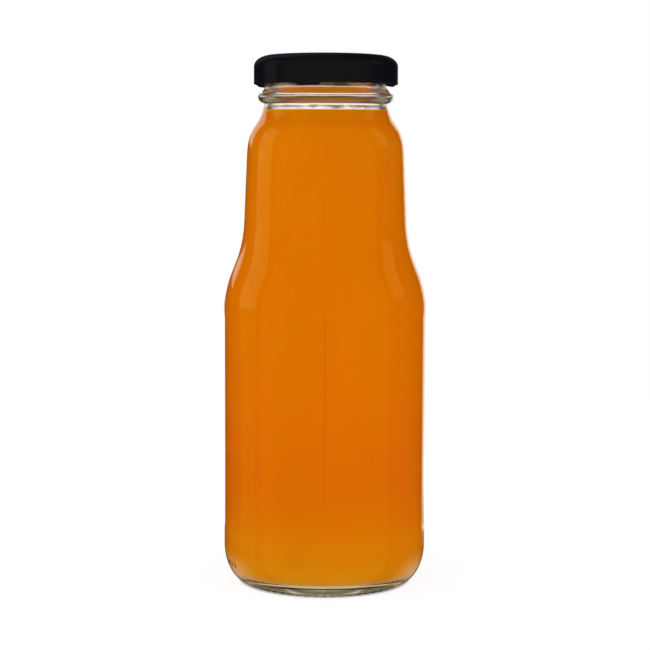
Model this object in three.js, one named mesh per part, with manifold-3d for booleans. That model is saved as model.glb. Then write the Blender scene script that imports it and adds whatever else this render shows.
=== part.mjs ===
// A small juice bottle of clear glass, filled and closed with a twist-off metal lid.
// Millimetres, +Z up, origin at the centre of the base, on the surface it stands on.

import * as THREE from 'three';
import { mergeVertices } from 'three/addons/utils/BufferGeometryUtils.js';
import Module from 'manifold-3d';

const wasm = await Module();
wasm.setup();

// Driving dimensions

const SIDES = 48;               // facets round every turned piece
const CLEARANCE = 0.3;          // gap between pieces that touch

const body = {
  radius: 32.3,                 // label panel
  bandRadius: 32.45,            // contact bands above and below the panel
  lowerBand: [12, 17.5],
  panel: [20, 84.5],
  upperBand: [87, 89.6],
};

const base = {
  bearingOuter: 25.2,           // flat ring that the bottle stands on
  bearingInner: 22.6,
  ringRise: 2.6,                // step up inside the ring, and how far in it goes
  ringRun: 1.2,
  pushUp: 3.2,                  // height of the hollow in the middle of the base
  crownHandle: 0.6,             // share of the radius over which the hollow stays level
  stepHandle: 0.35,             // share of ringRun at which the step turns down
  floorThickness: 3.2,
};

const neck = {
  bottomRadius: 26.1,           // slightly tapered upper neck
  bottomHeight: 115,
  topRadius: 25.12,
  topHeight: 138.2,
  throatRadius: 19.65,          // under the transfer bead
  throatHeight: 153.2,
};

// Curves of the wall. Each handle stands off its end of the curve by a radius, at a share of the
// way up.
const shoulderCurve = { footHandle: [-1.36, 0.479], headHandle: [1.01, 0.501], steps: 8 };
const throatCurve = { footHandle: [-0.72, 0.627], headHandle: [1.39, 0.514], steps: 6 };

const bead = {                  // transfer bead under the lid
  radius: 21.6,
  bottom: 153.3,
  bottomLedge: 0.1,             // how far its bottom corner stands outside the finish
  widest: 155.4,
  edge: 156.9,                  // where the side turns into the sloping top
  edgeInset: 0.65,
  top: 158.7,
  sideHandle: [-0.3, 0.6],      // from the widest radius and the bottom
  edgeHandle: -0.35,
  topHandle: [0.45, -0.9],      // from the finish and the top
};

const finish = { radius: 19.5, boreRadius: 17.2, lipHeight: 167.8 };

const wall = 2.4;
const inside = {
  cornerRadius: 7.5,            // rounded corner between the floor and the wall
  rise: 2.45,                   // how far the floor is crowned
  crownEdge: 1,                 // from the corner's centre in to where the crown starts
  crownEdgeRise: 0.06,
};
const boreFootHeight = 153.4;   // where the inside of the neck starts to widen
const juiceLevel = 150.9;

const thread = {
  starts: 4,
  steps: 12,
  arc: THREE.MathUtils.degToRad(78),
  firstAngle: THREE.MathUtils.degToRad(-68),
  lowHeight: 159.8,
  highHeight: 163.4,
  halfHeight: 0.95,
  rootRadius: 18.9,
  crestRadius: 21.3,
  fade: 0.22,                   // share of the ridge that each end tapers over
  endSwell: -0.04,              // keeps a little height at the very ends
  rounding: 0.55,
};

const lid = {
  radius: 23.0,
  bottom: 159.45,
  top: 168.8,
  sheet: 0.6,
  rimDrop: 3.6,                 // height of the rounded rim, from its top down to the skirt
  curlRadius: 0.6,
  curlProud: 0.08,              // how far the curl stands outside the skirt
  curlTurns: [1.6, 4.3],        // where the curl starts and ends, in quarter turns
  curlJoins: [2.2, 2.4],        // where it leaves the skirt inside and outside, in curl radii
  recessRadius: [16.2, 17.4],   // foot and head of the step round the top panel
  recessDepth: 0.7,
  buttonRadius: [7.2, 8.2],     // head and foot of the safety button's edge
  buttonHeight: 0.35,
};

const lug = {
  innerRadius: 20.4,
  outerRadius: 22.8,
  height: 0.8,
  lift: 0.15,                   // above the lid's lower edge
  arc: THREE.MathUtils.degToRad(24),
  curveSegments: 4,
  alongThread: 0.68,            // place under the thread ridge, from its low end
};

// Building blocks

// Joins shared corners and drops the triangles that collapse on the axis.
function closedGeometry(geometry) {
  const bare = geometry.clone();
  bare.deleteAttribute('normal');
  bare.deleteAttribute('uv');
  const merged = mergeVertices(bare, 1e-4);
  const old = merged.index.array;
  const kept = [];
  for (let i = 0; i < old.length; i += 3) {
    const [a, b, c] = [old[i], old[i + 1], old[i + 2]];
    if (a !== b && b !== c && c !== a) kept.push(a, b, c);
  }
  merged.setIndex(kept);
  merged.computeVertexNormals();
  return merged;
}

// A profile of radius and height, drawn stretch by stretch.
class Profile {
  constructor(radius, height) {
    this.points = [new THREE.Vector2(radius, height)];
  }

  lineTo(radius, height) {
    this.points.push(new THREE.Vector2(radius, height));
    return this;
  }

  bendTo(control, end, steps) {
    const curve = new THREE.QuadraticBezierCurve(
      this.points.at(-1), new THREE.Vector2(...control), new THREE.Vector2(...end),
    );
    this.points.push(...curve.getPoints(steps).slice(1));
    return this;
  }

  swayTo(firstControl, secondControl, end, steps) {
    const curve = new THREE.CubicBezierCurve(
      this.points.at(-1), new THREE.Vector2(...firstControl),
      new THREE.Vector2(...secondControl), new THREE.Vector2(...end),
    );
    this.points.push(...curve.getPoints(steps).slice(1));
    return this;
  }

  // Drops what lies above the given height and ends the profile there.
  cutAt(height) {
    const next = this.points.findIndex((point) => point.y >= height);
    const [low, high] = [this.points[next - 1], this.points[next]];
    const share = (height - low.y) / (high.y - low.y);
    this.points.length = next;
    this.points.push(low.clone().lerp(high, share));
    return this;
  }

  // Part of an ellipse; fromAngle and toAngle in quarter turns, 0 pointing outwards, 1 up.
  arc(centre, reach, rise, fromAngle, toAngle, steps) {
    const quarter = Math.PI / 2;
    const curve = new THREE.EllipseCurve(
      ...centre, reach, rise, fromAngle * quarter, toAngle * quarter, toAngle < fromAngle,
    );
    this.points.push(...curve.getPoints(steps));
    return this;
  }
}

// Turns a profile about the upright axis.
function turned(profile) {
  return closedGeometry(new THREE.LatheGeometry(profile.points, SIDES).rotateX(Math.PI / 2));
}

function toManifold(geometry) {
  return new wasm.Manifold(new wasm.Mesh({
    numProp: 3,
    vertProperties: new Float32Array(geometry.attributes.position.array),
    triVerts: new Uint32Array(geometry.index.array),
  }));
}

function fused(main, additions) {
  let solid = toManifold(main);
  for (const piece of additions) solid = solid.add(toManifold(closedGeometry(piece)));
  const { vertProperties, triVerts } = solid.getMesh();
  const geometry = new THREE.BufferGeometry();
  geometry.setAttribute('position', new THREE.BufferAttribute(vertProperties, 3));
  geometry.setIndex(new THREE.BufferAttribute(triVerts, 1));
  geometry.computeVertexNormals();
  return geometry;
}

function addWallCurve(profile, foot, head, { footHandle, headHandle, steps }) {
  const lift = head[1] - foot[1];
  profile.swayTo(
    [foot[0] + footHandle[0], foot[1] + footHandle[1] * lift],
    [head[0] + headHandle[0], foot[1] + headHandle[1] * lift],
    head,
    steps,
  );
}

// The wall from the upper contact band to the top of the tapered neck, the same curve for
// the outside and, moved in by inset, for the inside.
function addShoulderAndNeck(profile, inset) {
  const foot = [body.bandRadius - inset, body.upperBand[1]];
  const head = [neck.bottomRadius - inset, neck.bottomHeight];
  addWallCurve(profile, foot, head, shoulderCurve);
  profile.lineTo(neck.topRadius - inset, neck.topHeight);
}

// Upper shoulder, from the tapered neck up to the given throat.
function addThroat(profile, inset, throatRadius, throatHeight) {
  const foot = [neck.topRadius - inset, neck.topHeight];
  addWallCurve(profile, foot, [throatRadius, throatHeight], throatCurve);
}

// Glass bottle

function addBase(profile) {
  const { bearingInner, bearingOuter, ringRise, ringRun, pushUp, crownHandle, stepHandle } = base;
  const heelTop = body.lowerBand[0];
  profile.bendTo([crownHandle * bearingInner, pushUp], [bearingInner - ringRun, ringRise], 3);
  profile.bendTo([bearingInner - stepHandle * ringRun, ringRise], [bearingInner, 0], 2);
  profile.arc([bearingOuter, heelTop], body.bandRadius - bearingOuter, heelTop, -1, 0, 7);
}

function addBody(profile) {
  profile.lineTo(body.bandRadius, body.lowerBand[1]);
  profile.lineTo(body.radius, body.panel[0]);
  profile.lineTo(body.radius, body.panel[1]);
  profile.lineTo(body.bandRadius, body.upperBand[0]);
  profile.lineTo(body.bandRadius, body.upperBand[1]);
}

function addBeadAndLip(profile) {
  const lipRadius = (finish.radius - finish.boreRadius) / 2;
  const lipCentre = [finish.boreRadius + lipRadius, finish.lipHeight - lipRadius];
  const { sideHandle, edgeHandle, topHandle } = bead;
  profile.lineTo(finish.radius + bead.bottomLedge, bead.bottom);
  profile.bendTo([bead.radius + sideHandle[0], bead.bottom + sideHandle[1]], [bead.radius, bead.widest], 4);
  profile.bendTo([bead.radius, bead.edge + edgeHandle], [bead.radius - bead.edgeInset, bead.edge], 2);
  profile.bendTo([finish.radius + topHandle[0], bead.top + topHandle[1]], [finish.radius, bead.top], 2);
  profile.arc(lipCentre, lipRadius, lipRadius, 0, 2, 6);
}

// Inside of the glass, from the middle of the floor up to the foot of the bore.
// A gap moves it in, which gives the outline of the drink.
function insideProfile(gap) {
  const inset = wall + gap;
  const floor = base.pushUp + base.floorThickness + gap;
  const { cornerRadius, rise, crownEdge, crownEdgeRise } = inside;
  const cornerCentre = [body.radius - inset - cornerRadius, floor - rise + cornerRadius];
  const profile = new Profile(0, floor);
  profile.bendTo(
    [base.crownHandle * cornerCentre[0], floor],
    [cornerCentre[0] - crownEdge, floor - rise + crownEdgeRise],
    3,
  );
  profile.arc(cornerCentre, cornerRadius, cornerRadius, -1, 0, 6);
  profile.lineTo(body.bandRadius - inset, body.upperBand[1]);
  addShoulderAndNeck(profile, inset);
  addThroat(profile, inset, finish.boreRadius - gap, boreFootHeight);
  return profile;
}

function threadRidge(startAngle) {
  const ridge = new THREE.BoxGeometry(1, 1, 1, thread.steps, 1, 2);
  const corners = ridge.attributes.position;
  for (let i = 0; i < corners.count; i++) {
    const along = corners.getX(i) + 0.5;        // 0 at the low end, 1 at the high end
    const outward = corners.getY(i) + 0.5;      // 0 in the wall, 1 on the crest
    const upward = -2 * corners.getZ(i);        // -1 under the ridge, 1 on top of it
    const nearestEnd = Math.min(along, 1 - along);
    const swell = THREE.MathUtils.smoothstep(nearestEnd, thread.endSwell, thread.fade);
    const rounding = 1 - thread.rounding * upward * upward;
    const reach = outward * swell * rounding;
    const radius = THREE.MathUtils.lerp(thread.rootRadius, thread.crestRadius, reach);
    const angle = startAngle + along * thread.arc;
    const middle = THREE.MathUtils.lerp(thread.lowHeight, thread.highHeight, along);
    corners.setXYZ(
      i,
      radius * Math.cos(angle),
      radius * Math.sin(angle),
      middle + upward * thread.halfHeight,
    );
  }
  return ridge;
}

function threadAngle(index) {
  return thread.firstAngle + index * 2 * Math.PI / thread.starts;
}

function makeGlassBottle() {
  const profile = new Profile(0, base.pushUp);
  addBase(profile);
  addBody(profile);
  addShoulderAndNeck(profile, 0);
  addThroat(profile, 0, neck.throatRadius, neck.throatHeight);
  addBeadAndLip(profile);
  profile.points.push(...insideProfile(0).points.reverse());

  const ridges = [];
  for (let i = 0; i < thread.starts; i++) ridges.push(threadRidge(threadAngle(i)));
  return fused(turned(profile), ridges);
}

// Drink

function makeJuice() {
  const profile = insideProfile(CLEARANCE).cutAt(juiceLevel);
  profile.lineTo(0, juiceLevel);
  return turned(profile);
}

// Lid of pressed sheet

function makeLid() {
  const { radius, top, bottom, sheet, rimDrop, curlRadius } = lid;
  const [recessFoot, recessHead] = lid.recessRadius;
  const rimCentre = [recessHead, top - rimDrop];
  const rimReach = radius - recessHead;
  const [buttonHead, buttonFoot] = lid.buttonRadius;
  const panel = top - lid.recessDepth;
  const curlCentre = [radius + lid.curlProud - curlRadius, bottom + curlRadius];
  const [joinInside, joinOutside] = lid.curlJoins;

  const profile = new Profile(0, panel + lid.buttonHeight - sheet);
  profile.lineTo(buttonHead, panel + lid.buttonHeight - sheet);
  profile.lineTo(buttonFoot, panel - sheet);
  profile.lineTo(recessFoot, panel - sheet);
  profile.arc(rimCentre, rimReach - sheet, rimDrop - sheet, 1, 0, 6);
  profile.lineTo(radius - sheet, bottom + joinInside * curlRadius);
  profile.arc(curlCentre, curlRadius, curlRadius, ...lid.curlTurns, 6);
  profile.lineTo(radius, bottom + joinOutside * curlRadius);
  profile.arc(rimCentre, rimReach, rimDrop, 0, 1, 7);
  profile.lineTo(recessFoot, panel);
  profile.lineTo(buttonFoot, panel);
  profile.lineTo(buttonHead, panel + lid.buttonHeight);
  profile.lineTo(0, panel + lid.buttonHeight);

  const lugs = [];
  for (let i = 0; i < thread.starts; i++) {
    lugs.push(lidLug(threadAngle(i) + lug.alongThread * thread.arc));
  }
  return fused(turned(profile), lugs);
}

// One of the tabs that hook under the thread ridges.
function lidLug(angle) {
  const sector = new THREE.Shape();
  sector.absarc(0, 0, lug.outerRadius, angle - lug.arc / 2, angle + lug.arc / 2, false);
  sector.absarc(0, 0, lug.innerRadius, angle + lug.arc / 2, angle - lug.arc / 2, true);
  const tab = new THREE.ExtrudeGeometry(sector, {
    depth: lug.height, bevelEnabled: false, curveSegments: lug.curveSegments,
  });
  return tab.translate(0, 0, lid.bottom + lug.lift);
}

// Materials

const clearGlass = new THREE.MeshStandardMaterial({
  color: 0xe9efe9, roughness: 0.04, metalness: 0, transparent: true, opacity: 0.3,
});
const cloudyJuice = new THREE.MeshStandardMaterial({ color: 0xdc7003, roughness: 0.4, metalness: 0 });
const blackEnamel = new THREE.MeshStandardMaterial({ color: 0x17161a, roughness: 0.35, metalness: 0 });

// Assembly

function namedMesh(name, geometry, material) {
  const mesh = new THREE.Mesh(geometry, material);
  mesh.name = name;
  return mesh;
}

const bottle = new THREE.Group();
bottle.add(
  namedMesh('glass_bottle', makeGlassBottle(), clearGlass),
  namedMesh('juice', makeJuice(), cloudyJuice),
  namedMesh('twist_off_lid', makeLid(), blackEnamel),
);

export default bottle;
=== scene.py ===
from math import cos, exp, hypot, pi, radians, sin

import bpy
from mathutils import Euler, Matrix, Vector, noise


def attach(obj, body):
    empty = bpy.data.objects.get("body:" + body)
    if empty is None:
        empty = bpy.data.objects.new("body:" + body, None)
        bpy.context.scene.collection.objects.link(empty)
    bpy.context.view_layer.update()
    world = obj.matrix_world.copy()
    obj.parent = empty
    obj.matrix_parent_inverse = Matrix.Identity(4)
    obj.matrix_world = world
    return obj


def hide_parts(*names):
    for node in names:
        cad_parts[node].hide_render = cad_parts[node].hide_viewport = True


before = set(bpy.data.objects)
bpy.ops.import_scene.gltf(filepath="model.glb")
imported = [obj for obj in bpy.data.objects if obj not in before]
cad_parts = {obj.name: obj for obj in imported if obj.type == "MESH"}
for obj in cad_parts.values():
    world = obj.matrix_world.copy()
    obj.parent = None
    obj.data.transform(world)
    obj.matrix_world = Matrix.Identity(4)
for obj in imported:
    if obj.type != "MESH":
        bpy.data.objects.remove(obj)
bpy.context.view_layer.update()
mm = 0.001                        # lengths in the dictionaries below are in millimetres
print("frame loaded:", sorted(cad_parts))

scene = bpy.context.scene


# Small helpers

def linearColour(hexCode):
    # the sRGB curve: a straight foot, then a power
    channels = [int(hexCode[i:i + 2], 16) / 255 for i in (1, 3, 5)]
    linear = [c / 12.92 if c <= 0.04045 else ((c + 0.055) / 1.055) ** 2.4 for c in channels]
    return (*linear, 1.0)


def addNode(tree, kind, links=None, **settings):
    # settings are the node's own properties, links its sockets: a value or another node's output
    node = tree.nodes.new(kind)
    for setting, value in settings.items():
        setattr(node, setting, value)
    for socket, value in (links or {}).items():
        if isinstance(value, bpy.types.NodeSocket):
            tree.links.new(value, node.inputs[socket])
        else:
            node.inputs[socket].default_value = value
    return node


def newMaterial(name):
    material = bpy.data.materials.new(name)
    material.use_nodes = True
    material.node_tree.nodes.clear()
    return material, material.node_tree


def smoothStep(low, high, x):
    t = min(1.0, max(0.0, (x - low) / (high - low)))
    return t * t * (3 - 2 * t)


def angleBetween(a, b):
    return (a - b + pi) % (2 * pi) - pi


# Outlines are lists of (radius, height) in millimetres, drawn stretch by stretch

samePoint = 1e-6                  # millimetres: points closer than this are one


def straight(outline, radius, height, steps=1):
    startRadius, startHeight = outline[-1]
    for i in range(1, steps + 1):
        t = i / steps
        outline.append((startRadius + (radius - startRadius) * t, startHeight + (height - startHeight) * t))


def bend(outline, control, end, steps):
    start = outline[-1]
    for i in range(1, steps + 1):
        t = i / steps
        weights = ((1 - t) ** 2, 2 * t * (1 - t), t * t)
        outline.append(tuple(
            weights[0] * start[k] + weights[1] * control[k] + weights[2] * end[k] for k in (0, 1)))


def sway(outline, firstControl, secondControl, end, steps):
    start = outline[-1]
    for i in range(1, steps + 1):
        t = i / steps
        weights = ((1 - t) ** 3, 3 * t * (1 - t) ** 2, 3 * t * t * (1 - t), t ** 3)
        outline.append(tuple(
            weights[0] * start[k] + weights[1] * firstControl[k]
            + weights[2] * secondControl[k] + weights[3] * end[k] for k in (0, 1)))


def arc(outline, centre, reach, rise, turns, steps):
    # part of an ellipse, from one to another number of quarter turns: 0 points outwards, 1 up
    first, last = turns
    for i in range(steps + 1):
        angle = (first + (last - first) * i / steps) * pi / 2
        point = (centre[0] + reach * cos(angle), centre[1] + rise * sin(angle))
        if hypot(point[0] - outline[-1][0], point[1] - outline[-1][1]) > samePoint:
            outline.append(point)


def outlineNormal(outline, index):
    before = outline[max(index - 1, 0)]
    after = outline[min(index + 1, len(outline) - 1)]
    run, climb = after[0] - before[0], after[1] - before[1]
    length = hypot(run, climb) or 1.0
    return climb / length, -run / length


# Turned pieces

angleDigits = 7                   # columns that agree to so many digits are one


def columnAngles(count, extra=()):
    # evenly spread columns round the axis, with closer ones where a fine ridge needs them
    angles = {round(2 * pi * i / count, angleDigits) for i in range(count)}
    angles |= {round(a % (2 * pi), angleDigits) for a in extra}
    return sorted(angles)


def joiningFaces(lowAngles, low, highAngles, high):
    # one row of many-sided faces, from the few columns of one row to the many of the other
    coarserIsLow = len(lowAngles) < len(highAngles)
    coarser, finer = (lowAngles, highAngles) if coarserIsLow else (highAngles, lowAngles)
    place = {angle: i for i, angle in enumerate(finer)}
    faces = []
    for i in range(len(coarser)):
        j = (i + 1) % len(coarser)
        first, last = place[coarser[i]], place[coarser[j]]
        steps = (last - first) % len(finer)
        between = [(first + k) % len(finer) for k in range(steps + 1)]
        if coarserIsLow:
            faces.append((low + i, low + j, *[high + k for k in reversed(between)]))
        else:
            faces.append((*[low + k for k in between], high + j, high + i))
    return faces


def facesBetween(lowAngles, low, highAngles, high):
    # a row on the axis is one point, and its angles are [None]
    lowCount, highCount = len(lowAngles), len(highAngles)
    if lowCount == 1:
        return [(low, high + (i + 1) % highCount, high + i) for i in range(highCount)]
    if highCount == 1:
        return [(high, low + i, low + (i + 1) % lowCount) for i in range(lowCount)]
    if lowAngles is not highAngles:
        return joiningFaces(lowAngles, low, highAngles, high)
    following = [(i, (i + 1) % lowCount) for i in range(lowCount)]
    return [(low + i, low + j, high + j, high + i) for i, j in following]


def turnedMesh(name, outline, coarse, fine=None, isFine=None, relief=None):
    # Turns an outline about the upright axis. Rows that isFine picks use the closer columns.
    # relief(angle, radius, height, index) gives how far a point stands out along the outline's
    # normal, in millimetres.
    vertices, rows = [], []
    for index, (radius, height) in enumerate(outline):
        if radius < samePoint:
            rows.append(([None], len(vertices)))
            vertices.append((0.0, 0.0, height * mm))
            continue
        outwards, upwards = outlineNormal(outline, index)
        angles = fine if fine and isFine(index, radius, height) else coarse
        rows.append((angles, len(vertices)))
        for angle in angles:
            proud = relief(angle, radius, height, index) if relief else 0.0
            r = (radius + proud * outwards) * mm
            vertices.append((r * cos(angle), r * sin(angle), (height + proud * upwards) * mm))
    faces = []
    for (lowAngles, low), (highAngles, high) in zip(rows, rows[1:]):
        faces += facesBetween(lowAngles, low, highAngles, high)
    mesh = bpy.data.meshes.new(name)
    mesh.from_pydata(vertices, [], faces)
    mesh.validate()
    mesh.polygons.foreach_set("use_smooth", [True] * len(mesh.polygons))
    return mesh


def addPiece(name, mesh, materials, node):
    for material in materials:
        mesh.materials.append(material)
    piece = bpy.data.objects.new(name, mesh)
    scene.collection.objects.link(piece)
    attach(piece, "root")
    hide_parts(node)
    print("made", name, "with", len(mesh.polygons), "faces")


# Glass bottle

bottle = {
    "bodyRadius": 32.3,           # label panel
    "bandRadius": 32.45,          # contact bands above and below it
    "lowerBand": (12.0, 17.5),
    "panel": (20.0, 84.5),
    "upperBand": (87.0, 89.6),
    "bandEase": (18.4, 86.2),     # heights of the handles that ease the bands into the panel
    "bearingRadii": (22.6, 25.2),
    "pushUp": 3.2,                # hollow under the base, with a step up inside the bearing ring
    "ringRise": 2.6,
    "ringRun": 1.2,
    "stepHandle": 0.35,           # share of ringRun at which the step turns down
    "crownHandle": 0.6,           # share of the radius over which hollow and floor stay level
    "floorThickness": 3.2,
    "floorCrown": 2.45,
    "crownEdge": (1.0, 0.06),     # its edge, in from the corner's centre and up from its foot
    "insideCorner": 7.5,
    "wall": 2.4,
    "neckBottom": (26.1, 115.0),  # radius and height, and so are the next two
    "neckTop": (25.12, 138.2),
    "throat": (19.65, 153.2),     # under the transfer bead
    # each handle stands off its end of the curve by a radius, at a share of the way up
    "shoulderHandles": ((-1.36, 0.479), (1.01, 0.501)),
    "throatHandles": ((-0.72, 0.627), (1.39, 0.514)),
    "finishRadius": 19.5,
    "boreRadius": 17.2,
    "boreFoot": 153.4,
    "boreHead": 0.3,              # the bore ends this far under the end of the lip's rounding
    "lipHeight": 167.8,
    "columns": 240,
    "fineColumns": 720,           # on the heel, below this height and outside this radius
    "fineBelow": 10,
    "fineFrom": 22.1,
}

bead = {                          # transfer bead under the lid
    "radius": 21.6,
    "bottom": 153.3,
    "ledge": 0.1,                 # how far its bottom corner stands outside the finish
    "widest": 155.4,
    "sideHandle": (-0.3, 0.6),    # from the widest radius and the bottom
    "edge": 156.9,                # where the side turns into the sloping top
    "edgeInset": 0.65,
    "edgeHandle": (-0.02, -0.35),
    "top": 158.7,
    "topHandle": (0.12, -0.75),   # from the finish and the top
    "topEnd": (0.02, -0.35),
}

threads = {
    "starts": 4,                  # sloping ridges that the lid's lugs hook under
    "arc": radians(78),
    "firstAngle": radians(-68),
    "heights": (159.8, 163.4),    # middle of the ridge at its low and its high end
    "halfHeight": 0.95,
    "spread": 1.25,               # its foot is this much wider
    "reach": 1.8,
    "fade": (-0.04, 0.2),         # share of the ridge that each end tapers over
    "flatness": 4,                # powers that flatten its crest and soften its flanks
    "softness": 1.5,
    "outsideBore": 1.6,           # only on the outer side of the finish
}

seam = {
    "angle": radians(-90.7),      # the mould's parting line faces the camera, and there is one behind
    "rise": 0.05,
    "width": 0.35,
    "fadeIn": (0.3, 3.0),
    "underLip": 2.0,              # the lip's own mould leaves none
    "columns": (-0.5, -0.3, -0.15, 0.0, 0.15, 0.3, 0.5),
}

knurl = {
    "count": 60,                  # ribs round the bearing ring
    "depth": 0.18,
    "sharpness": 1.5,
    "radii": (22.9, 28.6),
    "fades": (0.9, 1.6),          # over the inner and the outer end
    "below": 2.5,
}

pips = {
    "height": 7.3,                # on the heel, where the outline's height passes this
    "radius": 0.75,
    "rise": 0.2,
    "roundness": 1.5,
    "lean": 1.25,                 # the heel leans, so its surface is longer than its height
    "reach": 2.0,
    "places": (-18.256, -15.974, -13.366, -7.824, -5.542, -3.26, -0.652, 5.216, 14.344, 17.604),
}

heelRidges = {
    "firstAngle": radians(-153),  # four short plain ridges at the left of the heel
    "step": radians(-4.2),
    "count": 4,
    "height": 7.2,
    "halfHeight": 1.1,
    "halfWidth": 0.42,
    "rise": 0.22,
    "reach": 2.2,                 # above and below the middle
    "sideFade": (0.5, 1.3),       # in half widths
    "endFade": (0.7, 1.2),        # in half heights
}

unevenness = {
    "slow": (0.12, 14),           # height and width of the waves that blowing leaves inside
    "levelMiddle": 6,             # radius over which the waves fade in on the floor
    "finish": (149, 152),         # the finish is pressed, and uneven near the parting line alone
    "quick": (0.045, 2),
    "hollow": (0.14, 3.5),        # under the base
    "hollowEdge": (20.5, 22.5),
    "hollowTop": 5,
}


def addWallCurve(outline, head, handles, steps):
    foot = outline[-1]
    lift = head[1] - foot[1]
    (footOff, footShare), (headOff, headShare) = handles
    sway(outline, (foot[0] + footOff, foot[1] + footShare * lift),
         (head[0] + headOff, foot[1] + headShare * lift), head, steps)


def addShoulderAndNeck(outline, inset):
    bottomRadius, bottomHeight = bottle["neckBottom"]
    topRadius, topHeight = bottle["neckTop"]
    addWallCurve(outline, (bottomRadius - inset, bottomHeight), bottle["shoulderHandles"], steps=36)
    straight(outline, topRadius - inset, topHeight, steps=8)


def addThroat(outline, radius, height):
    addWallCurve(outline, (radius, height), bottle["throatHandles"], steps=30)


def addBase(outline):
    bearingInner, bearingOuter = bottle["bearingRadii"]
    pushUp, ringRise, ringRun = bottle["pushUp"], bottle["ringRise"], bottle["ringRun"]
    stepRadius = bearingInner - bottle["stepHandle"] * ringRun
    heelTop = bottle["lowerBand"][0]
    heelReach = bottle["bandRadius"] - bearingOuter
    bend(outline, (bottle["crownHandle"] * bearingInner, pushUp),
         (bearingInner - ringRun, ringRise), steps=24)
    bend(outline, (stepRadius, ringRise), (bearingInner, 0.0), steps=8)
    straight(outline, bearingOuter, 0.0, steps=10)
    arc(outline, (bearingOuter, heelTop), heelReach, heelTop, turns=(-1, 0), steps=48)


def addBody(outline):
    bodyRadius, bandRadius = bottle["bodyRadius"], bottle["bandRadius"]
    panelFoot, panelHead = bottle["panel"]
    lowerEase, upperEase = bottle["bandEase"]
    straight(outline, bandRadius, bottle["lowerBand"][1], steps=6)
    bend(outline, (bodyRadius, lowerEase), (bodyRadius, panelFoot), steps=6)
    straight(outline, bodyRadius, panelHead, steps=26)
    bend(outline, (bodyRadius, upperEase), (bandRadius, bottle["upperBand"][0]), steps=6)
    straight(outline, bandRadius, bottle["upperBand"][1], steps=4)


def addBeadAndLip(outline):
    radius, finishRadius = bead["radius"], bottle["finishRadius"]
    straight(outline, finishRadius + bead["ledge"], bead["bottom"], steps=2)
    outwards, upwards = bead["sideHandle"]
    bend(outline, (radius + outwards, bead["bottom"] + upwards), (radius, bead["widest"]), steps=18)
    outwards, upwards = bead["edgeHandle"]
    bend(outline, (radius + outwards, bead["edge"] + upwards), (radius - bead["edgeInset"], bead["edge"]),
         steps=14)
    (outwards, upwards), (endOut, endUp) = bead["topHandle"], bead["topEnd"]
    bend(outline, (finishRadius + outwards, bead["top"] + upwards),
         (finishRadius + endOut, bead["top"] + endUp), steps=14)
    lipRadius = (finishRadius - bottle["boreRadius"]) / 2
    lipCentre = (finishRadius - lipRadius, bottle["lipHeight"] - lipRadius)
    straight(outline, finishRadius, lipCentre[1], steps=34)
    arc(outline, lipCentre, lipRadius, lipRadius, turns=(0, 2), steps=18)


def outsideOutline():
    outline = [(0.0, bottle["pushUp"])]
    addBase(outline)
    addBody(outline)
    addShoulderAndNeck(outline, 0)
    addThroat(outline, *bottle["throat"])
    addBeadAndLip(outline)
    return outline


def insideOutline(inset):
    # from the middle of the floor up; inset counts from the outside, and floor and bore move with it
    gap = inset - bottle["wall"]
    floorHeight = bottle["pushUp"] + bottle["floorThickness"] + gap
    corner = bottle["insideCorner"]
    cornerRadius = bottle["bodyRadius"] - inset - corner
    cornerHeight = floorHeight - bottle["floorCrown"] + corner
    edgeIn, edgeUp = bottle["crownEdge"]
    outline = [(0.0, floorHeight)]
    bend(outline, (bottle["crownHandle"] * cornerRadius, floorHeight),
         (cornerRadius - edgeIn, cornerHeight - corner + edgeUp), steps=16)
    arc(outline, (cornerRadius, cornerHeight), corner, corner, turns=(-1, 0), steps=24)
    straight(outline, bottle["bandRadius"] - inset, bottle["upperBand"][1], steps=22)
    addShoulderAndNeck(outline, inset)
    addThroat(outline, bottle["boreRadius"] - gap, bottle["boreFoot"])
    return outline


# Relief of the glass: how far a point stands out, in millimetres

def waves(angle, radius, height, size):
    rise, width = size
    return rise * noise.noise(Vector((radius * cos(angle), radius * sin(angle), height)) / width)


def insideRelief(angle, radius, height):
    finish = smoothStep(*unevenness["finish"], height)
    nearSeam = sin(angle) ** 2
    blown = smoothStep(0, unevenness["levelMiddle"], radius) * (1 - finish * (1 - nearSeam))
    pressed = finish * nearSeam
    return (waves(angle, radius, height, unevenness["slow"]) * blown
            + waves(angle, radius, height, unevenness["quick"]) * pressed)


def hollowRelief(angle, radius, height):
    middle = 1 - smoothStep(*unevenness["hollowEdge"], radius)
    return waves(angle, radius, height, unevenness["hollow"]) * middle


def threadRelief(angle, height):
    proud = 0.0
    low, high = threads["heights"]
    for i in range(threads["starts"]):
        start = threads["firstAngle"] + i * 2 * pi / threads["starts"]
        along = ((angle - start) % (2 * pi)) / threads["arc"]
        if along >= 1:
            continue
        across = (height - (low + (high - low) * along)) / (threads["halfHeight"] * threads["spread"])
        if abs(across) >= 1:
            continue
        swell = smoothStep(*threads["fade"], min(along, 1 - along))
        section = (1 - across ** threads["flatness"]) ** threads["softness"]
        proud = max(proud, threads["reach"] * swell * section)
    return proud


def seamRelief(angle, radius, height):
    fade = smoothStep(*seam["fadeIn"], height)
    proud = 0.0
    for side in (0, pi):
        away = angleBetween(angle, seam["angle"] + side) * radius
        proud += seam["rise"] * exp(-(away / seam["width"]) ** 2) * fade
    return proud


def knurlDepth(angle, radius):
    low, high = knurl["radii"]
    innerFade, outerFade = knurl["fades"]
    rib = 0.5 + 0.5 * cos(angle * knurl["count"])
    fade = smoothStep(low, low + innerFade, radius) * (1 - smoothStep(high - outerFade, high, radius))
    return knurl["depth"] * (1 - rib ** knurl["sharpness"]) * fade


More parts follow.
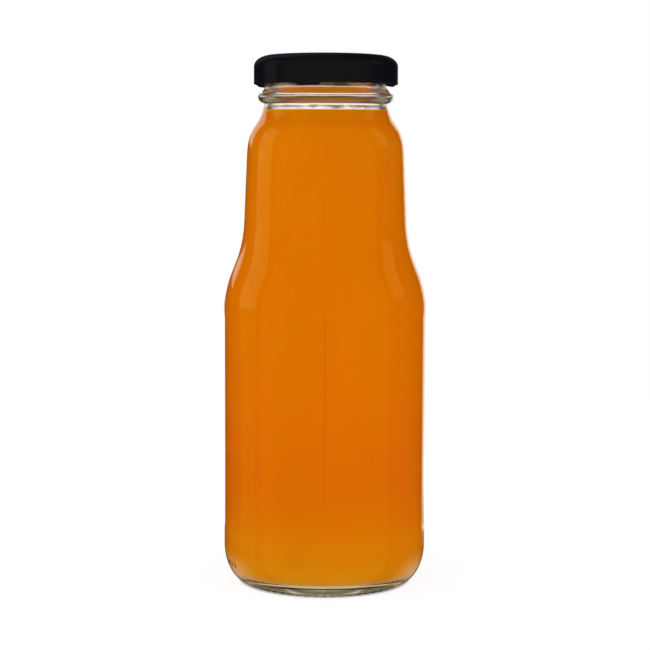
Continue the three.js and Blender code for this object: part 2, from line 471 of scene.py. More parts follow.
def pipRelief(angle, radius, height):
    proud = 0.0
    upwards = (height - pips["height"]) * pips["lean"]
    for place in pips["places"]:
        across = angleBetween(angle, -pi / 2 + place / radius) * radius
        distance = hypot(across, upwards) / pips["radius"]
        if distance < 1:
            proud += pips["rise"] * (1 - distance * distance) ** pips["roundness"]
    return proud


def heelRidgeRelief(angle, radius, height):
    proud = 0.0
    offMiddle = abs(height - heelRidges["height"]) / heelRidges["halfHeight"]
    along = 1 - smoothStep(*heelRidges["endFade"], offMiddle)
    for i in range(heelRidges["count"]):
        away = abs(angleBetween(angle, heelRidges["firstAngle"] + i * heelRidges["step"])) * radius
        across = 1 - smoothStep(*heelRidges["sideFade"], away / heelRidges["halfWidth"])
        proud += heelRidges["rise"] * across * along
    return proud


def glassRelief(angle, radius, height, index):
    bearingInner, bearingOuter = bottle["bearingRadii"]
    if index >= outsideRows:
        return insideRelief(angle, radius, height)
    if radius < bearingInner and height < unevenness["hollowTop"]:
        return hollowRelief(angle, radius, height)
    proud = 0.0
    if height > bead["top"] and radius > bottle["boreRadius"] + threads["outsideBore"]:
        proud += threadRelief(angle, height)
    if radius > bearingInner and height < bottle["lipHeight"] - seam["underLip"]:
        proud += seamRelief(angle, radius, height)
        proud = min(proud, bottle["bandRadius"] - radius)
    if height < knurl["below"] and knurl["radii"][0] < radius < knurl["radii"][1]:
        proud -= knurlDepth(angle, radius)
    if abs(height - pips["height"]) < pips["reach"] and radius > bearingOuter:
        proud += pipRelief(angle, radius, height)
    if abs(height - heelRidges["height"]) < heelRidges["reach"] and radius > bearingOuter:
        proud += heelRidgeRelief(angle, radius, height)
    return proud


def glassIsFine(index, radius, height):
    return index < outsideRows and height < bottle["fineBelow"] and radius > bottle["fineFrom"]


def makeGlassMesh():
    # out from the middle of the base, up to the lip, and down the inside to the middle of the floor
    inside = insideOutline(bottle["wall"])
    lipEnd = outside[-1][1]
    straight(inside, bottle["boreRadius"], lipEnd - bottle["boreHead"], steps=34)
    seamColumns = [seam["angle"] + side + offset / bottle["bodyRadius"]
                   for side in (0, pi) for offset in seam["columns"]]
    coarse = columnAngles(bottle["columns"], seamColumns)
    fine = columnAngles(bottle["fineColumns"], coarse)
    return turnedMesh("glassBottle", outside + inside[::-1], coarse, fine, glassIsFine, glassRelief)


glass = {
    "ior": 1.52,
    "tint": "#FDFEFD",
    "mirrorTint": "#F5FF00",      # what it mirrors comes back as warm as the lamps
    "clearTint": "#FBFCFB",       # on soft light that goes through
    "thickTint": "#A0AA00",       # a trace of grey green where it is thick
    "thickTintDensity": 14.0,
    "waveWidth": 18,              # millimetres, and so are the wave's height and the two spans
    "waveHeight": 0.3,
    "waveStrength": 0.12,
    "finishSpan": (148, 151),     # the finish and the bearing ring are pressed, not blown,
    "finishRoughness": 0.12,      # and their skin is not quite as clear
    "ringSpan": (4.5, 2.5),
    "ringRoughness": 0.1,
}


def sodaLimeGlass():
    # Clear soda-lime container glass, pressed and blown, then fire polished: glossy, with the faint
    # slow waves that the mould leaves, and a trace of grey green where it is thick.
    material, tree = newMaterial("sodaLimeGlass")
    place = addNode(tree, "ShaderNodeTexCoord")
    mouldWaves = addNode(tree, "ShaderNodeTexNoise", {
        "Vector": place.outputs["Object"],
        "Scale": 1 / (glass["waveWidth"] * mm),
        "Detail": 1.0,
    })
    bump = addNode(tree, "ShaderNodeBump", {
        "Height": mouldWaves.outputs["Fac"],
        "Strength": glass["waveStrength"],
        "Distance": glass["waveHeight"] * mm,
    })
    axes = addNode(tree, "ShaderNodeSeparateXYZ", {"Vector": place.outputs["Object"]})
    pressedParts = []
    for part in ("finish", "ring"):
        start, end = glass[part + "Span"]
        pressedParts.append(addNode(tree, "ShaderNodeMapRange", {
            "Value": axes.outputs["Z"],
            "From Min": start * mm,
            "From Max": end * mm,
            "To Max": glass[part + "Roughness"],
        }))
    pressed = addNode(tree, "ShaderNodeMath", {
        0: pressedParts[0].outputs["Result"],
        1: pressedParts[1].outputs["Result"],
    }, operation="MAXIMUM")
    body = addNode(tree, "ShaderNodeBsdfPrincipled", {
        "Base Color": linearColour(glass["tint"]),
        "Roughness": pressed.outputs["Value"],
        "IOR": glass["ior"],
        "Transmission Weight": 1.0,
        "Specular Tint": linearColour(glass["mirrorTint"]),
        "Normal": bump.outputs["Normal"],
    })
    # lamps and soft light reach the drink through the glass, as they do through the real one
    path = addNode(tree, "ShaderNodeLightPath")
    letsThrough = addNode(tree, "ShaderNodeMath", {
        0: path.outputs["Is Shadow Ray"],
        1: path.outputs["Is Diffuse Ray"],
    }, operation="MAXIMUM")
    clear = addNode(tree, "ShaderNodeBsdfTransparent", {"Color": linearColour(glass["clearTint"])})
    mix = addNode(tree, "ShaderNodeMixShader", {
        "Fac": letsThrough.outputs["Value"],
        1: body.outputs["BSDF"],
        2: clear.outputs["BSDF"],
    })
    tint = addNode(tree, "ShaderNodeVolumeAbsorption", {
        "Color": linearColour(glass["thickTint"]),
        "Density": glass["thickTintDensity"],
    })
    addNode(tree, "ShaderNodeOutputMaterial", {
        "Surface": mix.outputs["Shader"],
        "Volume": tint.outputs["Volume"],
    })
    return material


outside = outsideOutline()
outsideRows = len(outside)
addPiece("glassBottle", makeGlassMesh(), [sodaLimeGlass()], "glass_bottle")


# Drink

juice = {
    "level": 150.85,
    "intoWall": 0.15,             # how far it reaches into the glass, so that no air gap shows
    "meniscus": 0.35,             # rise where it wets the wall
    "meniscusWidth": 1.8,
    "meniscusHandle": 0.3,
    "leastStep": 0.05,            # between the last point of the wall and the meniscus
    "columns": 200,
    "ior": 1.35,
    # height in millimetres and colour there: redder low in the body, yellower above the base, where the tone
    # is painted light from the board below coming up through the base glass
    "tones": ((0, "#DB880C"), (8, "#DE8608"), (16, "#E68404"), (24, "#E67902"), (34, "#E67302"),
              (44, "#E87302"), (62, "#E97902"), (88, "#E97D02"), (114, "#E97D02"), (146, "#E47F04")),
    "roughness": 0.6,
    "glowReach": (2.4, 1.0, 0.3),         # millimetres that red, green and blue travel in it
    "driftWidth": 26,             # slow drifts of pulp, higher than they are wide
    "driftStretch": 0.35,
    "driftNoise": (0.3, 0.7),     # range of the noise, and the lightness that it gives
    "driftValue": (0.97, 1.03),
    "paintedSeamShade": "#CB0000",      # painted shade: the darker line seen behind the mould seam
    "paintedSeamShadeHalfWidths": (0.9, 0.15),        # where it starts and where it is full
    "paintedSeamShadeSpans": ((26, 56, 88, 91, 0.13), (100, 112, 142, 148, 0.05)),   # fade in, fade out, depth
    "foamAndPaintedLightColour": "#F6A92F",      # fine pulp floats up and pales the surface; the paler tone is also painted light for the light that the neck lets in
    "foamWidth": 1.5,
    "foamRoughness": 0.4,
    "foamGlowReach": (9.0, 5.0, 1.2),
    "paintedGlowColour": "#F0A030",        # painted glow: it stands in for daylight that the finish and the wall gather in it
    "paintedGlowStrength": 0.2,
    "surfaceTilt": 0.2,           # least upward part of the normal of a face of the surface
    "surfaceDepth": 0.01,         # such a face lies no lower than this under the level
}


def juiceOutline():
    whole = insideOutline(bottle["wall"] - juice["intoWall"])
    level = juice["level"]
    top = level + juice["meniscus"]
    outline = [point for point in whole if point[1] < top - juice["leastStep"]]
    (lowRadius, lowHeight), (highRadius, highHeight) = whole[len(outline) - 1:len(outline) + 1]
    wallRadius = lowRadius + (highRadius - lowRadius) * (top - lowHeight) / (highHeight - lowHeight)
    outline.append((wallRadius, top))
    innerRadius = wallRadius - juice["meniscusWidth"]
    bend(outline, (wallRadius - juice["meniscusHandle"], level), (innerRadius, level), steps=10)
    straight(outline, 0.0, level, steps=12)
    return outline


def pulpColourAndPaintedLight(tree, place):
    axes = addNode(tree, "ShaderNodeSeparateXYZ", {"Vector": place.outputs["Object"]})
    level = juice["level"]
    upwards = addNode(tree, "ShaderNodeMapRange", {"Value": axes.outputs["Z"], "From Max": level * mm})
    # tone by height; its yellower tones above the base are painted light from the board below
    ramp = addNode(tree, "ShaderNodeValToRGB", {"Fac": upwards.outputs["Result"]})
    heights, tones = zip(*juice["tones"])
    stops = ramp.color_ramp.elements
    while len(stops) < len(tones):
        stops.new(1.0)
    for stop, height in zip(stops, heights):
        stop.position = height / level
    for stop, tone in zip(stops, tones):
        stop.color = linearColour(tone)
    drift = addNode(tree, "ShaderNodeMapping", {
        "Vector": place.outputs["Object"],
        "Scale": (1, 1, juice["driftStretch"]),
    })
    cloud = addNode(tree, "ShaderNodeTexNoise", {
        "Vector": drift.outputs["Vector"],
        "Scale": 1 / (juice["driftWidth"] * mm),
        "Detail": 2.0,
    })
    (leastNoise, mostNoise), (leastValue, mostValue) = juice["driftNoise"], juice["driftValue"]
    shift = addNode(tree, "ShaderNodeMapRange", {
        "Value": cloud.outputs["Fac"],
        "From Min": leastNoise,
        "From Max": mostNoise,
        "To Min": leastValue,
        "To Max": mostValue,
    })
    # painted shade: a thin darker line behind the mould's parting line stands in for how the seam's ridge
    # bends the view into the drink
    across = addNode(tree, "ShaderNodeMath", {0: axes.outputs["X"]}, operation="ABSOLUTE")
    edge, core = juice["paintedSeamShadeHalfWidths"]
    line = addNode(tree, "ShaderNodeMapRange", {
        "Value": across.outputs["Value"],
        "From Min": edge * mm,
        "From Max": core * mm,
    }, interpolation_type="SMOOTHSTEP")
    paintedShadeAlong = None
    for start, full, fade, end, depth in juice["paintedSeamShadeSpans"]:
        rise = addNode(tree, "ShaderNodeMapRange", {
            "Value": axes.outputs["Z"],
            "From Min": start * mm,
            "From Max": full * mm,
            "To Max": depth,
        })
        fall = addNode(tree, "ShaderNodeMapRange", {
            "Value": axes.outputs["Z"],
            "From Min": end * mm,
            "From Max": fade * mm,
        })
        span = addNode(tree, "ShaderNodeMath", {
            0: rise.outputs["Result"],
            1: fall.outputs["Result"],
        }, operation="MULTIPLY")
        paintedShadeAlong = span if paintedShadeAlong is None else addNode(
            tree, "ShaderNodeMath", {0: paintedShadeAlong.outputs["Value"], 1: span.outputs["Value"]}, operation="ADD")
    paintedSeamShadeDepth = addNode(tree, "ShaderNodeMath", {
        0: line.outputs["Result"],
        1: paintedShadeAlong.outputs["Value"],
    }, operation="MULTIPLY")
    # the painted seam shade is mixed into the pulp colour here
    withPaintedSeamShade = addNode(tree, "ShaderNodeMix", {
        "Factor": paintedSeamShadeDepth.outputs["Value"],
        "A": ramp.outputs["Color"],
        "B": linearColour(juice["paintedSeamShade"]),
    }, data_type="RGBA")
    return addNode(tree, "ShaderNodeHueSaturation", {
        "Color": withPaintedSeamShade.outputs["Result"],
        "Value": shift.outputs["Result"],
    }).outputs["Color"]


def cloudyJuice():
    # Cloudy pressed juice against the glass: fine pulp makes it nearly opaque, so light comes back soft
    # and saturated. Glass is denser than juice, so what meets their boundary at a low angle is all
    # thrown back, and that is what makes the base of a full bottle look silvery.
    material, tree = newMaterial("cloudyJuice")
    place = addNode(tree, "ShaderNodeTexCoord")
    body = addNode(tree, "ShaderNodeBsdfPrincipled", {
        "Base Color": pulpColourAndPaintedLight(tree, place),
        "Roughness": juice["roughness"],
        "IOR": juice["ior"],
        "Specular IOR Level": 0.0,
        "Subsurface Weight": 1.0,
        "Subsurface Radius": juice["glowReach"],
        "Subsurface Scale": mm,
    })
    boundary = addNode(tree, "ShaderNodeFresnel", {"IOR": juice["ior"] / glass["ior"]})
    mirror = addNode(tree, "ShaderNodeBsdfAnisotropic", {"Color": (1, 1, 1, 1), "Roughness": 0.0})
    mix = addNode(tree, "ShaderNodeMixShader", {
        "Fac": boundary.outputs["Fac"],
        1: body.outputs["BSDF"],
        2: mirror.outputs["BSDF"],
    })
    addNode(tree, "ShaderNodeOutputMaterial", {"Surface": mix.outputs["Shader"]})
    return material


def juiceFoamWithPaintedGlow():
    # The free surface inside the neck: fine pulp and bubbles float there, so it is paler and dull. Its paler
    # tone is partly painted light, and it has a faint painted glow, though it is no lamp.
    material, tree = newMaterial("juiceFoamWithPaintedGlow")
    place = addNode(tree, "ShaderNodeTexCoord")
    bubbles = addNode(tree, "ShaderNodeTexNoise", {
        "Vector": place.outputs["Object"],
        "Scale": 1 / (juice["foamWidth"] * mm),
        "Detail": 3.0,
    })
    tone = addNode(tree, "ShaderNodeMix", {
        "Factor": bubbles.outputs["Fac"],
        "A": linearColour(juice["tones"][-1][1]),
        "B": linearColour(juice["foamAndPaintedLightColour"]),
    }, data_type="RGBA")
    foam = addNode(tree, "ShaderNodeBsdfPrincipled", {
        "Base Color": tone.outputs["Result"],
        "Roughness": juice["foamRoughness"],
        "IOR": juice["ior"],
        "Specular IOR Level": 0.0,
        "Subsurface Weight": 1.0,
        "Subsurface Radius": juice["foamGlowReach"],
        "Subsurface Scale": mm,
        # painted glow: the surface glows faintly, though it is no lamp
        "Emission Color": linearColour(juice["paintedGlowColour"]),
        "Emission Strength": juice["paintedGlowStrength"],
    })
    addNode(tree, "ShaderNodeOutputMaterial", {"Surface": foam.outputs["BSDF"]})
    return material


juiceMesh = turnedMesh("orangeJuice", juiceOutline(), columnAngles(juice["columns"]))
addPiece("orangeJuice", juiceMesh, [cloudyJuice(), juiceFoamWithPaintedGlow()], "juice")
for face in juiceMesh.polygons:
    atLevel = face.center.z > (juice["level"] - juice["surfaceDepth"]) * mm
    if atLevel and face.normal.z > juice["surfaceTilt"]:
        face.material_index = 1


# Lid

lid = {
    "radius": 22.9,
    "bottom": 159.45,
    "top": 168.75,
    "sheet": 0.45,                # thickness
    "rimDrop": 3.6,               # height of the rounded rim, from its top down to the skirt
    "rimTurns": (0, 0.94),        # quarter turns that the rim's rounding takes
    "curl": 0.6,                  # radius of the rolled edge
    "curlProud": 0.06,
    "curlTurns": (1.6, 4.3),
    "curlJoins": (2.3, 2.4),      # where it leaves the skirt inside and outside, in curl radii
    "recess": (16.2, 17.4),       # foot and head of the step round the top panel
    "recessDepth": 0.7,
    # handles and ends of the recess's edge, from the head or the foot of the recess and the top
    "brinkHandle": 0.15,
    "brink": (-0.1, -0.12),
    "recessHandles": ((-0.35, -0.3), 0.35),
    "button": (7.2, 8.4),         # head and foot of the safety button's edge
    "buttonHeight": 0.35,
    "buttonFillet": (0.5, 0.4),   # of its foot and its head
    "buttonCrown": 0.12,
    "crownHandle": 0.5,           # share of the button over which the crown stays level
    "lugs": 4,
    "lugArc": radians(24),
    "lugEnds": (0.36, 0.5),       # where they fade out, in shares of the arc
    "lugReach": 1.5,
    "lugTop": 2.1,                # in curl radii
    "lugLean": 0.5,
    "lugAlongThread": 0.68,       # place under the thread ridge, from its low end
    "columns": 240,
}


def addLidInside(outline, panel, crown):
    # from the middle of the lining out, and down to the curl
    radius, sheet, rimDrop = lid["radius"], lid["sheet"], lid["rimDrop"]
    recessFoot, recessHead = lid["recess"]
    buttonHead, buttonFoot = lid["button"]
    rimReach = radius - recessHead
    straight(outline, buttonHead, crown - sheet, steps=6)
    straight(outline, buttonFoot, panel - sheet, steps=3)
    straight(outline, recessFoot, panel - sheet, steps=6)
    arc(outline, (recessHead, lid["top"] - rimDrop), rimReach - sheet, rimDrop - sheet,
        turns=(1, 0), steps=16)
    straight(outline, radius - sheet, lid["bottom"] + lid["curlJoins"][0] * lid["curl"], steps=8)


def addLidOutside(outline, panel, crown):
    # round the curl, up the skirt and in to the middle of the top
    radius, top, bottom, curl = lid["radius"], lid["top"], lid["bottom"], lid["curl"]
    recessFoot, recessHead = lid["recess"]
    buttonHead, buttonFoot = lid["button"]
    rimStart = top - lid["rimDrop"]
    arc(outline, (radius + lid["curlProud"] - curl, bottom + curl), curl, curl, lid["curlTurns"], steps=28)
    straight(outline, radius, bottom + lid["curlJoins"][1] * curl, steps=3)
    straight(outline, radius, rimStart, steps=10)
    arc(outline, (recessHead, rimStart), radius - recessHead, lid["rimDrop"], lid["rimTurns"], steps=30)
    brinkIn, brinkDown = lid["brink"]
    bend(outline, (recessHead + lid["brinkHandle"], top), (recessHead + brinkIn, top + brinkDown), steps=4)
    (handleIn, handleDown), footHandle = lid["recessHandles"]
    sway(outline, (recessHead + handleIn, top + handleDown), (recessFoot + footHandle, panel),
         (recessFoot, panel), steps=10)
    footFillet, headFillet = lid["buttonFillet"]
    straight(outline, buttonFoot + footFillet, panel, steps=8)
    sway(outline, (buttonFoot, panel), (buttonHead + headFillet, crown), (buttonHead, crown), steps=8)
    crownTop = crown + lid["buttonCrown"]
    bend(outline, (buttonHead * lid["crownHandle"], crownTop), (0.0, crownTop), steps=8)


def lidRelief(angle, radius, height, index):
    # the lugs are folded out of the curl, so they lean inwards from it
    curlInside = lid["radius"] - lid["curl"]
    if height > lid["bottom"] + lid["lugTop"] * lid["curl"] or radius > curlInside:
        return 0.0
    firstLug = threads["firstAngle"] + lid["lugAlongThread"] * threads["arc"]
    proud = 0.0
    for i in range(lid["lugs"]):
        away = abs(angleBetween(angle, firstLug + i * 2 * pi / lid["lugs"]))
        proud += lid["lugReach"] * (1 - smoothStep(*lid["lugEnds"], away / lid["lugArc"]))
    return proud * smoothStep(0, lid["lugLean"], curlInside - radius)


enamel = {
    "pigment": "#100D14",
    "glossTint": "#F0DCFA",
    "gloss": 0.015,               # share of the light that the skin mirrors
    "glossRoughness": (0.13, 0.19),
    "ripple": 0.9,                # millimetres, and so is its height
    "rippleHeight": 0.02,
    "rippleStrength": 0.25,
    "patch": 6,                   # millimetres between the duller and the glossier patches
}

lining = {
    "tones": ("#C08C66", "#CE9C74"),
    "patch": 2,                   # millimetres
    "roughness": 0.35,
}


def enamelledTinplate():
    # Tinplate pressed into a lid and stoved with black enamel: a smooth satin skin that keeps a soft
    # reflection of the lamps, a little uneven where the enamel flowed.
    material, tree = newMaterial("enamelledTinplate")
    place = addNode(tree, "ShaderNodeTexCoord")
    flow = addNode(tree, "ShaderNodeTexNoise", {
        "Vector": place.outputs["Object"],
        "Scale": 1 / (enamel["ripple"] * mm),
        "Detail": 2.0,
    })
    bump = addNode(tree, "ShaderNodeBump", {
        "Height": flow.outputs["Fac"],
        "Strength": enamel["rippleStrength"],
        "Distance": enamel["rippleHeight"] * mm,
    })
    patches = addNode(tree, "ShaderNodeTexNoise", {
        "Vector": place.outputs["Object"],
        "Scale": 1 / (enamel["patch"] * mm),
        "Detail": 4.0,
    })
    smoothest, dullest = enamel["glossRoughness"]
    satin = addNode(tree, "ShaderNodeMapRange", {
        "Value": patches.outputs["Fac"],
        "To Min": smoothest,
        "To Max": dullest,
    })
    pigment = addNode(tree, "ShaderNodeBsdfPrincipled", {
        "Base Color": linearColour(enamel["pigment"]),
        "Roughness": 0.7,
        "IOR": 1.5,
        "Specular IOR Level": 0.0,
    })
    skin = addNode(tree, "ShaderNodeBsdfAnisotropic", {
        "Color": linearColour(enamel["glossTint"]),
        "Roughness": satin.outputs["Result"],
        "Normal": bump.outputs["Normal"],
    })
    stoved = addNode(tree, "ShaderNodeMixShader", {
        "Fac": enamel["gloss"],
        1: pigment.outputs["BSDF"],
        2: skin.outputs["BSDF"],
    })
    addNode(tree, "ShaderNodeOutputMaterial", {"Surface": stoved.outputs["Shader"]})
    return material


def liningLacquer():
    # The food-safe gold lacquer inside the lid, baked on: tan, half gloss and almost even.
    material, tree = newMaterial("liningLacquer")
    place = addNode(tree, "ShaderNodeTexCoord")
    flow = addNode(tree, "ShaderNodeTexNoise", {
        "Vector": place.outputs["Object"],
        "Scale": 1 / (lining["patch"] * mm),
        "Detail": 2.0,
    })
    darker, lighter = lining["tones"]
    tone = addNode(tree, "ShaderNodeMix", {
        "Factor": flow.outputs["Fac"],
        "A": linearColour(darker),
        "B": linearColour(lighter),
    }, data_type="RGBA")
    lacquer = addNode(tree, "ShaderNodeBsdfPrincipled", {
        "Base Color": tone.outputs["Result"],
        "Roughness": lining["roughness"],
        "IOR": 1.5,
    })
    addNode(tree, "ShaderNodeOutputMaterial", {"Surface": lacquer.outputs["BSDF"]})
    return material


panel = lid["top"] - lid["recessDepth"]
crown = panel + lid["buttonHeight"]
lidOutline = [(0.0, crown - lid["sheet"])]
addLidInside(lidOutline, panel, crown)
liningFaces = (len(lidOutline) - 1) * lid["columns"]
addLidOutside(lidOutline, panel, crown)
lidMesh = turnedMesh("twistOffLid", lidOutline, columnAngles(lid["columns"]), relief=lidRelief)
addPiece("twistOffLid", lidMesh, [enamelledTinplate(), liningLacquer()], "twist_off_lid")
for face in lidMesh.polygons[:liningFaces]:
    face.material_index = 1


# Studio. Directions are headings in degrees round the bottle, 0 towards the camera and 90 to its
# right, and heights in degrees above the horizon.

studio = {
    "backdrop": 1.0,              # plain white behind the bottle
    # light on matt surfaces: brightest from the front left, dimmer and warmer from behind
    "fill": {"from": (-0.28, -0.96, 0.0), "front": (1.16, 1.2, 1.2), "back": (0.64, 0.47, 0.42)},
    # what glass lets through: a bright backdrop straight behind, a dim room round it
    "throughGlass": {"backdrop": (1.35, 1.2, 1.05), "low": 7, "high": 15, "dimmest": 0.3,
                     "front": 0.12, "turn": (0.84, 0.93), "lean": (0.0, 1.0, -0.35)},
    # what gloss mirrors; a panel fades in over low and out over high, and over side beside its width
    "panels": {
        "leftSoftbox": {"heading": -100, "halfWidth": 15, "side": 1.5, "low": (-3, 3.5),
                        "high": (36, 40), "colour": (0.6, 0.97, 0.5), "strength": 0.68},
        "rightSoftbox": {"heading": 95, "halfWidth": 10, "side": 2.5, "low": (8, 11),
                         "high": (41, 46), "colour": (0.6, 0.97, 0.5), "strength": 0.6},
        "leftSoftboxFoot": {"heading": -99, "halfWidth": 12, "side": 2, "low": (-95, -92),
                            "high": (-3, 3.5), "colour": (0.2, 0.9, 0.1), "strength": 0.3},
        "frontScreen": {"heading": 0, "halfWidth": 76, "side": 2, "low": (-95, -92),
                        "high": (50, 70), "colour": (0.1, 0.36, 0.02), "strength": 1.0},
        "boardInFront": {"heading": 0, "halfWidth": 60, "side": 30, "low": (-95, -92),
                         "high": (-34, -20), "colour": (0.5, 0.45, 0.5), "strength": 0.6},
        "boardRight": {"heading": 135, "halfWidth": 26, "side": 13, "low": (-95, -92),
                       "high": (-28, -12), "colour": (0.9, 0.97, 0.9), "strength": 0.75},
        "boardLeft": {"heading": -135, "halfWidth": 26, "side": 13, "low": (-95, -92),
                      "high": (-28, -12), "colour": (0.9, 0.97, 0.9), "strength": 0.75},
        "whiteWall": {"heading": 172, "halfWidth": 20, "side": 2, "low": (-13, -10),
                      "high": (16, 30), "colour": (1.0, 1.0, 0.86), "strength": 1.15},
        "leftBackWall": {"heading": -163, "halfWidth": 24, "side": 3, "low": (3.5, 6),
                         "high": (50, 65), "colour": (1.0, 0.98, 0.92), "strength": 0.9},
        "boardBehind": {"heading": 180, "halfWidth": 45, "side": 25, "low": (-95, -92),
                        "high": (-62, -48), "colour": (1.0, 0.97, 0.9), "strength": 0.4},
        "ceiling": {"heading": 0, "halfWidth": 181, "side": 1, "low": (60, 80),
                    "high": (95, 100), "colour": (1.0, 1.0, 1.0), "strength": 0.08},
    },
}

board = {
    "radius": 450,
    "sides": 96,
    "tone": "#7C8084",
    "glow": 0.85,                 # lit from all round; less where the bottle stands on it is a painted contact shadow
    "paintedContactShadowGlow": 0.15,
    "contactReach": 0.9,
    "contactSamples": 16,
    "paintedUnderGlassLight": "#D9B692",      # painted light: the board under the base glows as if lit through the drink, for rays that come through the glass
}

camera = {
    "distance": 575,              # in front of the bottle's axis
    "height": 138,
    "aside": -0.02,
    "pitch": 5.487,               # degrees below the horizon
    "roll": 0.2,
    "lens": 99.31,
    "sensor": 36,
}


def makeBoard():
    radius = board["radius"] * mm
    corners = [(radius * cos(angle), radius * sin(angle), 0.0) for angle in columnAngles(board["sides"])]
    mesh = bpy.data.meshes.new("paleBoard")
    mesh.from_pydata(corners, [], [tuple(range(len(corners)))])
    material, tree = newMaterial("paleBoard")
    matt = addNode(tree, "ShaderNodeBsdfDiffuse", {"Color": linearColour(board["tone"])})
    # painted contact shadow: the glow drops where the bottle stands close
    contact = addNode(tree, "ShaderNodeAmbientOcclusion", {"Distance": board["contactReach"] * mm},
                      samples=board["contactSamples"])
    lift = addNode(tree, "ShaderNodeMapRange", {
        "Value": contact.outputs["AO"],
        "To Min": board["paintedContactShadowGlow"],
        "To Max": board["glow"],
    })
    glow = addNode(tree, "ShaderNodeEmission", {"Color": (1, 1, 1, 1), "Strength": lift.outputs["Result"]})
    both = addNode(tree, "ShaderNodeAddShader", {0: matt.outputs["BSDF"], 1: glow.outputs["Emission"]})
    # painted light: a glow that rays through the glass see on the board
    shade = addNode(tree, "ShaderNodeEmission", {"Color": linearColour(board["paintedUnderGlassLight"])})
    path = addNode(tree, "ShaderNodeLightPath")
    mix = addNode(tree, "ShaderNodeMixShader", {
        "Fac": path.outputs["Is Transmission Ray"],
        1: both.outputs["Shader"],
        2: shade.outputs["Emission"],
    })
    addNode(tree, "ShaderNodeOutputMaterial", {"Surface": mix.outputs["Shader"]})
    mesh.materials.append(material)
    piece = bpy.data.objects.new("paleBoard", mesh)
    piece.visible_glossy = False
    scene.collection.objects.link(piece)


def panelLight(tree, flat, elevation, light):
    # one soft-edged panel of light, as seen by a reflection
    heading = radians(light["heading"])
    facing = addNode(tree, "ShaderNodeVectorMath", {
        0: flat.outputs["Vector"],
        1: (sin(heading), -cos(heading), 0.0),
    }, operation="DOT_PRODUCT")
    away = addNode(tree, "ShaderNodeMath", {0: facing.outputs["Value"]}, operation="ARCCOSINE")
    half, side = radians(light["halfWidth"]), radians(light["side"])
    across = addNode(tree, "ShaderNodeMapRange", {
        "Value": away.outputs["Value"],
        "From Min": half + side,
        "From Max": half - side,
    }, interpolation_type="SMOOTHSTEP")
    (footStart, footEnd), (headStart, headEnd) = light["low"], light["high"]
    foot = addNode(tree, "ShaderNodeMapRange", {
        "Value": elevation.outputs["Value"],
        "From Min": radians(footStart),
        "From Max": radians(footEnd),
    }, interpolation_type="SMOOTHSTEP")
    head = addNode(tree, "ShaderNodeMapRange", {
        "Value": elevation.outputs["Value"],
        "From Min": radians(headEnd),
        "From Max": radians(headStart),
    }, interpolation_type="SMOOTHSTEP")
    upright = addNode(tree, "ShaderNodeMath", {
        0: foot.outputs["Result"],
        1: head.outputs["Result"],
    }, operation="MULTIPLY")
    shape = addNode(tree, "ShaderNodeMath", {
        0: across.outputs["Result"],
        1: upright.outputs["Value"],
    }, operation="MULTIPLY")
    colour = tuple(light["strength"] * c for c in light["colour"])
    return addNode(tree, "ShaderNodeVectorMath", {0: shape.outputs["Value"], 1: colour},
                   operation="MULTIPLY").outputs["Vector"]


def mirroredRoom(tree, direction, elevation):
    level = addNode(tree, "ShaderNodeVectorMath", {0: direction, 1: (1.0, 1.0, 0.0)}, operation="MULTIPLY")
    flat = addNode(tree, "ShaderNodeVectorMath", {0: level.outputs["Vector"]}, operation="NORMALIZE")
    room = None
    for light in studio["panels"].values():
        lit = panelLight(tree, flat, elevation, light)
        room = lit if room is None else addNode(
            tree, "ShaderNodeVectorMath", {0: room, 1: lit}, operation="ADD").outputs["Vector"]
    return room


def roomThroughGlass(tree, direction, elevation):
    through = studio["throughGlass"]
    dimming = addNode(tree, "ShaderNodeMapRange", {
        "Value": elevation.outputs["Value"],
        "From Min": radians(through["low"]),
        "From Max": radians(through["high"]),
        "To Min": 1.0,
        "To Max": through["dimmest"],
    }, interpolation_type="SMOOTHSTEP")
    # what comes back towards the camera is the dark front of the room
    backwards = addNode(tree, "ShaderNodeVectorMath", {0: direction, 1: through["lean"]},
                        operation="DOT_PRODUCT")
    turnStart, turnEnd = through["turn"]
    front = addNode(tree, "ShaderNodeMapRange", {
        "Value": backwards.outputs["Value"],
        "From Min": turnStart,
        "From Max": turnEnd,
        "To Min": through["front"],
    }, interpolation_type="SMOOTHSTEP")
    brightness = addNode(tree, "ShaderNodeMath", {
        0: dimming.outputs["Result"],
        1: front.outputs["Result"],
    }, operation="MULTIPLY")
    return addNode(tree, "ShaderNodeVectorMath", {0: brightness.outputs["Value"], 1: through["backdrop"]},
                   operation="MULTIPLY").outputs["Vector"]


def fillLight(tree, direction):
    fill = studio["fill"]
    towards = addNode(tree, "ShaderNodeVectorMath", {0: direction, 1: fill["from"]}, operation="DOT_PRODUCT")
    share = addNode(tree, "ShaderNodeMapRange", {"Value": towards.outputs["Value"], "From Min": -1.0})
    return addNode(tree, "ShaderNodeMix", {
        "Factor": share.outputs["Result"],
        "A": (*fill["back"], 1.0),
        "B": (*fill["front"], 1.0),
    }, data_type="RGBA").outputs["Result"]


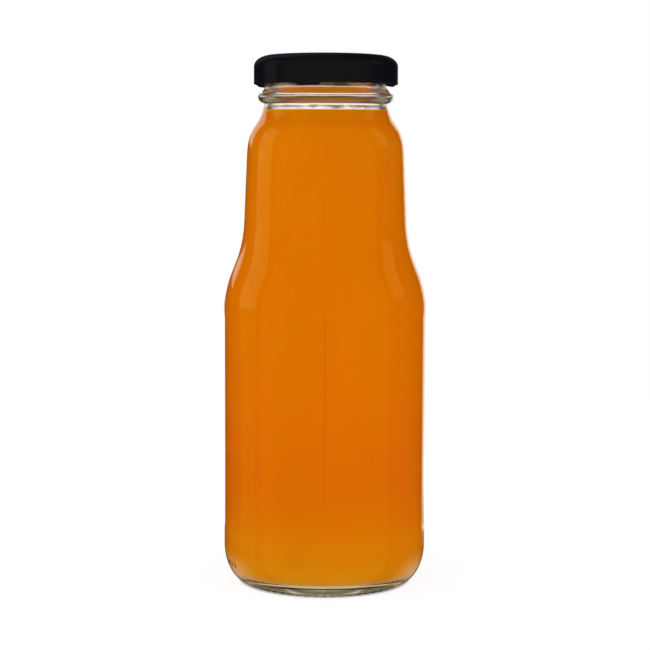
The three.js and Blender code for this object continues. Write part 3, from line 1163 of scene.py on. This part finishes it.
def makeSurround():
    # each kind of ray gets its own surround: matt light, what glass lets through, what gloss mirrors
    world = bpy.data.worlds.new("studioSurround")
    world.use_nodes = True
    tree = world.node_tree
    tree.nodes.clear()
    direction = addNode(tree, "ShaderNodeTexCoord").outputs["Generated"]
    axes = addNode(tree, "ShaderNodeSeparateXYZ", {"Vector": direction})
    elevation = addNode(tree, "ShaderNodeMath", {0: axes.outputs["Z"]}, operation="ARCSINE")
    path = addNode(tree, "ShaderNodeLightPath")
    matt = addNode(tree, "ShaderNodeMix", {
        "Factor": path.outputs["Is Camera Ray"],
        "A": fillLight(tree, direction),
        "B": (studio["backdrop"], studio["backdrop"], studio["backdrop"], 1.0),
    }, data_type="RGBA")
    seenThrough = addNode(tree, "ShaderNodeMix", {
        "Factor": path.outputs["Is Transmission Ray"],
        "A": matt.outputs["Result"],
        "B": roomThroughGlass(tree, direction, elevation),
    }, data_type="RGBA")
    mirrored = addNode(tree, "ShaderNodeMath", {
        0: path.outputs["Is Glossy Ray"],
        1: path.outputs["Is Reflection Ray"],
    }, operation="MULTIPLY")
    gloss = addNode(tree, "ShaderNodeMix", {
        "Factor": mirrored.outputs["Value"],
        "A": seenThrough.outputs["Result"],
        "B": mirroredRoom(tree, direction, elevation),
    }, data_type="RGBA")
    background = addNode(tree, "ShaderNodeBackground", {"Color": gloss.outputs["Result"]})
    addNode(tree, "ShaderNodeOutputWorld", {"Surface": background.outputs["Background"]})
    scene.world = world


def makeCamera():
    data = bpy.data.cameras.new("camera")
    data.sensor_width = camera["sensor"]
    data.lens = camera["lens"]
    piece = bpy.data.objects.new("camera", data)
    piece.location = (camera["aside"] * mm, -camera["distance"] * mm, camera["height"] * mm)
    piece.rotation_euler = Euler((radians(90 - camera["pitch"]), 0, 0))
    piece.rotation_euler.rotate_axis("Z", radians(camera["roll"]))
    scene.collection.objects.link(piece)
    scene.camera = piece


makeBoard()
makeSurround()
makeCamera()
scene.view_settings.view_transform = "Standard"
print("studio made")
